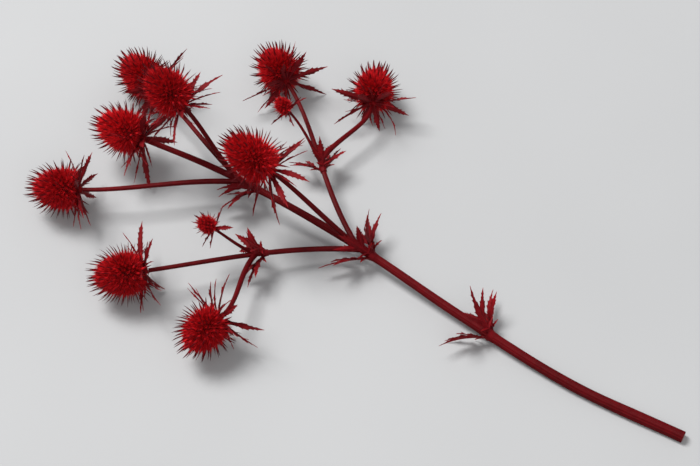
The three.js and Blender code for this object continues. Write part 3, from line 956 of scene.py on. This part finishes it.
class Nodes:
    """A new material's nodes. A value given for a socket may be another node's output."""

    def __init__(self, name):
        self.material = bpy.data.materials.new(name)
        self.material.use_nodes = True
        self.tree = self.material.node_tree
        self.shader = self.tree.nodes["Principled BSDF"]

    def fill(self, socket, value):
        if isinstance(value, bpy.types.NodeSocket):
            self.tree.links.new(value, socket)
        else:
            socket.default_value = value

    def add(self, kind, *values, output=0, **named):
        """The output of a new node. Values go to its sockets in order, names in small letters
        are its settings, and other names are sockets."""
        node = self.tree.nodes.new("ShaderNode" + kind)
        for name, value in named.items():
            if name.islower():
                setattr(node, name, value)
            else:
                self.fill(node.inputs[name], value)
        for socket, value in zip(node.inputs, values):
            self.fill(socket, value)
        return node.outputs[output]

    def math(self, operation, *values):
        return self.add("Math", *values, operation=operation)

    def ramp(self, factor, stops):
        """A colour ramp with (place, colour) stops."""
        node = self.tree.nodes.new("ShaderNodeValToRGB")
        self.fill(node.inputs[0], factor)
        band = node.color_ramp
        while len(band.elements) < len(stops):
            band.elements.new(0.5)
        for element, (place, colour) in zip(band.elements, stops):
            element.position = place
            element.color = (*colour, 1)
        return node.outputs[0]

    def shade(self, **named):
        """Fills the shader's own sockets, by name with spaces as underlines."""
        for name, value in named.items():
            self.fill(self.shader.inputs[name.replace("_", " ")], value)


def vein_lines(nodes, grain):
    """1 on a blade's midrib, less on its side veins, 0 between them."""
    across = nodes.math("ABSOLUTE", nodes.add("SeparateXYZ", grain, output="X"))
    along = nodes.add("SeparateXYZ", grain, output="Y")
    midrib = nodes.add("MapRange", across, *VEINS["midrib"], 1.0, 0.0)
    back = nodes.math("MULTIPLY", across, -VEINS["slant"])
    slanted = nodes.math("ADD", along, back)
    wave = nodes.math("SINE", nodes.math("MULTIPLY", slanted, 2 * math.pi / VEINS["gap"]))
    side = nodes.add("MapRange", wave, VEINS["narrow"], 1.0, 0.0, VEINS["side"])
    return nodes.math("MAXIMUM", midrib, side)


def plant_material(name):
    """Dyed plant skin: a colour ramp from root to tip, mottled, streaked along its grain. On the
    spines the ramp's dark roots are painted shade.
    """
    skin = SKINS[name]
    nodes = Nodes(name)
    rise = nodes.add("Attribute", attribute_name="rise", output="Fac")
    grain = nodes.add("Attribute", attribute_name="grain", output="Vector")
    place = nodes.add("TexCoord", output="Object")
    streaks = nodes.add("TexNoise", nodes.add("Mapping", grain, Scale=skin["grain"]), **STREAKS)
    mottle = nodes.add("TexNoise", place, **MOTTLE)
    patches = nodes.add("TexNoise", place, **PATCHES)
    mixed = nodes.math("ADD", nodes.math("ADD", streaks, mottle), patches)
    dark, light = 1 - skin["spread"], 1 + skin["spread"]
    shade = nodes.add("MapRange", mixed, *SHADE_RANGE, dark, light)
    relief = streaks
    if skin["veined"]:
        lines = vein_lines(nodes, grain)
        lit = nodes.math("MULTIPLY_ADD", lines, VEINS["light"], 1.0)
        shade = nodes.math("MULTIPLY", shade, lit)
        relief = nodes.math("ADD", relief, lines)
    colour = nodes.ramp(rise, skin["stops"])
    nodes.shade(
        Base_Color=nodes.add("VectorMath", colour, operation="SCALE", Scale=shade),
        Roughness=nodes.add("MapRange", streaks, *ROUGH_RANGE, *skin["rough"]),
        Normal=nodes.add("Bump", Height=relief, **RELIEF),
        Specular_IOR_Level=GLOSS,
    )
    return nodes.material


def pith_material():
    """The cut end: soft pith with fine pores, inside a darker ring."""
    nodes = Nodes("cut_pith")
    rise = nodes.add("Attribute", attribute_name="rise", output="Fac")
    grain = nodes.add("Attribute", attribute_name="grain", output="Vector")
    pores = nodes.add("TexVoronoi", grain, Scale=PITH["pores"], output="Distance")
    shade = nodes.add("MapRange", pores, *PITH["pore_range"], *PITH["shade"])
    colour = nodes.ramp(rise, PITH_STOPS)
    nodes.shade(
        Base_Color=nodes.add("VectorMath", colour, operation="SCALE", Scale=shade),
        Roughness=PITH["roughness"],
        Normal=nodes.add("Bump", Height=pores, **PITH["relief"]),
    )
    return nodes.material


def floor_material():
    nodes = Nodes("pale_table")
    cloud = nodes.add("TexNoise", nodes.add("TexCoord", output="Object"), **FLOOR["cloud"])
    nodes.shade(Base_Color=nodes.ramp(cloud, FLOOR["stops"]), Roughness=FLOOR["roughness"])
    return nodes.material


# ---------------------------------------------------------------- the studio

def make_floor():
    mesh = bpy.data.meshes.new("floor")
    reach = FLOOR["reach"]
    corners = [(-reach, -reach, 0), (reach, -reach, 0), (reach, reach, 0), (-reach, reach, 0)]
    mesh.from_pydata(corners, [], [(0, 1, 2, 3)])
    mesh.materials.append(floor_material())
    floor = add_object("floor", mesh)


def aim(thing, place, way):
    """Stands a lamp or camera at a place, where it faces along a way."""
    thing.location = place
    thing.rotation_mode = "QUATERNION"
    thing.rotation_quaternion = Vector(way).to_track_quat("-Z", "Y")


def make_lamp(name, place, size, watts):
    data = bpy.data.lights.new(name, "AREA")
    data.shape = "DISK"
    data.size = size
    data.energy = watts
    aim(add_object(name, data), place, -Vector(place))


def outer_points(shoots, right, up):
    """The plant's furthest points in the picture: round each head, and at the cut end."""
    points = [shoots["main"]["path"].at(0)]
    for name, shoot in shoots.items():
        middle = shoot["base"] + shoot["facing"] * HEADS[name][0] / 2
        size = HEAD_REACH * scale_of(name)
        points += [middle + way * size for way in (right, -right, up, -up)]
    return np.array(points)


def frame_plant(points, back, right, up):
    """The middle of the camera's view, and how far back it stands to hold the points."""
    half_wide = CAMERA["sensor"] / 2 / CAMERA["lens"]
    half_high = half_wide * FRAME_SIZE[1] / FRAME_SIZE[0]
    middle, distance = points.mean(axis=0), CAMERA["distance"]
    for _ in range(CAMERA["rounds"]):
        seen = points - middle - back * distance
        depth = -(seen @ back)
        x, y = (seen @ right) / depth, (seen @ up) / depth
        middle = middle + right * (x.min() + x.max()) / 2 * distance
        middle = middle + up * (y.min() + y.max()) / 2 * distance
        distance *= max(np.ptp(x) / half_wide, np.ptp(y) / half_high) / 2 * CAMERA["margin"]
    return middle, distance


def make_camera(shoots):
    """A camera that looks down on the plant and holds all of it."""
    a, e = math.radians(CAMERA["azimuth"]), math.radians(CAMERA["elevation"])
    back = np.array([math.sin(a) * math.cos(e), -math.cos(a) * math.cos(e), math.sin(e)])
    right = np.array([math.cos(a), math.sin(a), 0])
    up = np.cross(back, right)
    middle, distance = frame_plant(outer_points(shoots, right, up), back, right, up)
    data = bpy.data.cameras.new("camera")
    data.lens = CAMERA["lens"]
    data.sensor_width = CAMERA["sensor"]
    camera = add_object("camera", data)
    aim(camera, middle + back * distance, -back)
    bpy.context.scene.camera = camera


def make_studio(shoots):
    scene = bpy.context.scene
    scene.view_settings.view_transform = "Standard"
    scene.world = bpy.data.worlds.new("studio")
    scene.world.use_nodes = True
    for name, value in SKY.items():
        scene.world.node_tree.nodes["Background"].inputs[name].default_value = value
    make_floor()
    for lamp in LAMPS:
        make_lamp(*lamp)
    make_camera(shoots)


# ---------------------------------------------------------------- all together

def main():
    shoots = grow_shoots()
    make_studio(shoots)
    skins = {name: plant_material(name) for name in SKINS}
    make_stem(shoots, skins["dyed_stem"], pith_material())
    for seed, row in enumerate(WHORLS, SEEDS["whorls"]):
        make_whorl(row, shoots, seed, skins["dyed_leaf"])
    for seed, name in enumerate(HEADS, SEEDS["heads"]):
        make_head(name, shoots[name], seed, skins["dyed_and_shaded_spines"], skins["dyed_bract"])
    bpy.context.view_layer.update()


main()
